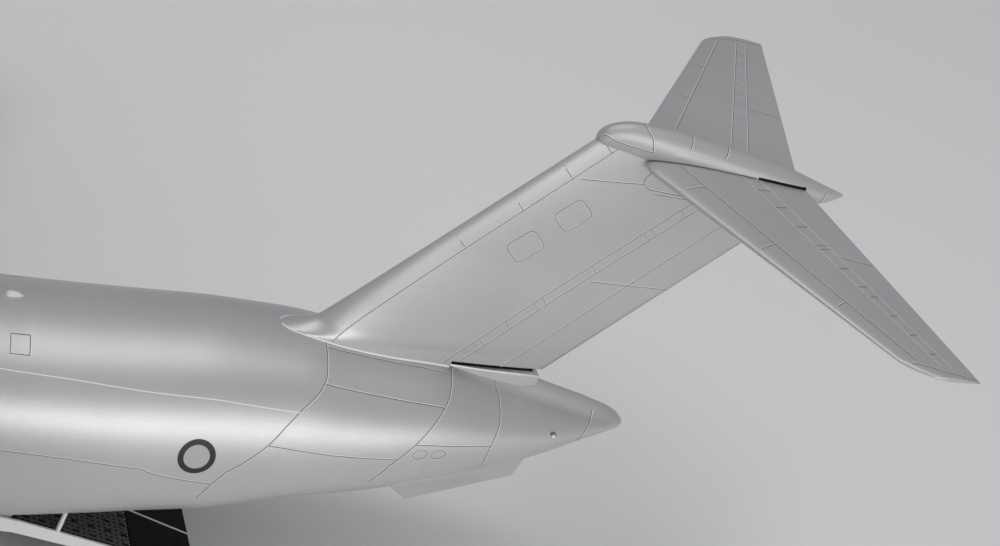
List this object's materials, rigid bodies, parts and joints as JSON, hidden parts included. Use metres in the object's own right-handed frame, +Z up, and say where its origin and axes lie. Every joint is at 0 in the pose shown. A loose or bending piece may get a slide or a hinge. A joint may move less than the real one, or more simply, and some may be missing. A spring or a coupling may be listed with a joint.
{
  "type": "military transport plane",
  "caption": "Plastic scale model of a swept-wing, T-tailed military transport plane on its landing gear, with a hollow hold, a lowered rear ramp and an open aft cargo door.",
  "frame": {"origin": "centre of the bounding box in plan, on the ground under the tyres", "axes": "+X aft (the nose is at -X), +Y to starboard, +Z up"},
  "size_m": [0.3686, 0.3606, 0.1167],
  "materials": {
    "hull_grey": "satin grey paint over plastic",
    "dark_interior": "matt dark grey paint",
    "white": "satin white paint",
    "deck_grey": "matt near-black paint",
    "black": "smooth black paint",
    "tyre": "matt black paint on plastic wheels",
    "bright_metal": "silver paint over plastic",
    "burnt_metal": "dark metallic paint over plastic",
    "clear": "smoked clear plastic"
  },
  "bodies": {
    "airframe": {"cargo_floor": "deck_grey", "cockpit_glazing": "clear", "cockpit_tub": "dark_interior", "engine_1_core": "burnt_metal", "engine_1_cowl": "hull_grey", "engine_2_core": "burnt_metal", "engine_2_cowl": "hull_grey", "engine_3_core": "burnt_metal", "engine_3_cowl": "hull_grey", "engine_4_core": "burnt_metal", "engine_4_cowl": "hull_grey", "fin": "hull_grey", "fuselage_half_port": "hull_grey", "fuselage_half_starboard": "hull_grey", "gear_sponson_port": "hull_grey", "gear_sponson_starboard": "hull_grey", "hold_bulkhead": "white", "main_leg_port_front": "white", "main_leg_port_rear": "white", "main_leg_starboard_front": "white", "main_leg_starboard_rear": "white", "nose_gear_door_port": "hull_grey", "nose_gear_door_starboard": "hull_grey", "nose_leg": "white", "pylon_1": "hull_grey", "pylon_2": "hull_grey", "pylon_3": "hull_grey", "pylon_4": "hull_grey", "rudder_base_fairing": "hull_grey", "tailplane_fairing": "hull_grey", "tailplane_port": "hull_grey", "tailplane_starboard": "hull_grey", "ventral_strake_port": "hull_grey", "ventral_strake_starboard": "hull_grey", "wing_fairing": "hull_grey", "wing_port": "hull_grey", "wing_starboard": "hull_grey", "winglet_port": "hull_grey", "winglet_starboard": "hull_grey"},
    "ramp": {"ramp_deck": "deck_grey", "ramp_toes": "black", "ramp_strut_port": "white", "ramp_strut_starboard": "white"},
    "cargo_door": {"cargo_door": "hull_grey"},
    "nose_wheel_pair": {"nose_wheels": "tyre"},
    "fan_1": {"engine_1_fan": "bright_metal"},
    "fan_2": {"engine_2_fan": "bright_metal"},
    "fan_3": {"engine_3_fan": "bright_metal"},
    "fan_4": {"engine_4_fan": "bright_metal"},
    "wheel_row_port_front": {"main_wheels_port_front": "tyre"},
    "wheel_row_port_rear": {"main_wheels_port_rear": "tyre"},
    "wheel_row_starboard_front": {"main_wheels_starboard_front": "tyre"},
    "wheel_row_starboard_rear": {"main_wheels_starboard_rear": "tyre"}
  },
  "joints": [
    {"name": "ramp_hinge", "type": "hinge", "parent": "airframe", "child": "ramp", "pos_m": [0.01639, 0, 0.01132], "axis": [0, -1, 0], "range_deg": [0, 23.4]},
    {"name": "cargo_door_hinge", "type": "hinge", "parent": "airframe", "child": "cargo_door", "pos_m": [0.10319, 0, 0.02792], "axis": [0, -1, 0], "range_deg": [0, 35]},
    {"name": "nose_wheel_spin", "type": "hinge", "parent": "airframe", "child": "nose_wheel_pair", "pos_m": [-0.14889, 0, 0.00353], "axis": [0, 1, 0], "continuous": true},
    {"name": "fan_1_spin", "type": "hinge", "parent": "airframe", "child": "fan_1", "pos_m": [-0.05167, -0.09931, 0.03021], "axis": [1, 0, 0], "continuous": true},
    {"name": "fan_2_spin", "type": "hinge", "parent": "airframe", "child": "fan_2", "pos_m": [-0.07875, -0.05278, 0.03299], "axis": [1, 0, 0], "continuous": true},
    {"name": "fan_3_spin", "type": "hinge", "parent": "airframe", "child": "fan_3", "pos_m": [-0.07875, 0.05278, 0.03299], "axis": [1, 0, 0], "continuous": true},
    {"name": "fan_4_spin", "type": "hinge", "parent": "airframe", "child": "fan_4", "pos_m": [-0.05167, 0.09931, 0.03021], "axis": [1, 0, 0], "continuous": true},
    {"name": "wheel_row_port_front_spin", "type": "hinge", "parent": "airframe", "child": "wheel_row_port_front", "pos_m": [-0.01833, -0.02833, 0.00441], "axis": [0, 1, 0], "continuous": true},
    {"name": "wheel_row_port_rear_spin", "type": "hinge", "parent": "airframe", "child": "wheel_row_port_rear", "pos_m": [-0.00097, -0.02833, 0.00441], "axis": [0, 1, 0], "continuous": true},
    {"name": "wheel_row_starboard_front_spin", "type": "hinge", "parent": "airframe", "child": "wheel_row_starboard_front", "pos_m": [-0.01833, 0.02833, 0.00441], "axis": [0, 1, 0], "continuous": true},
    {"name": "wheel_row_starboard_rear_spin", "type": "hinge", "parent": "airframe", "child": "wheel_row_starboard_rear", "pos_m": [-0.00097, 0.02833, 0.00441], "axis": [0, 1, 0], "continuous": true}
  ]
}
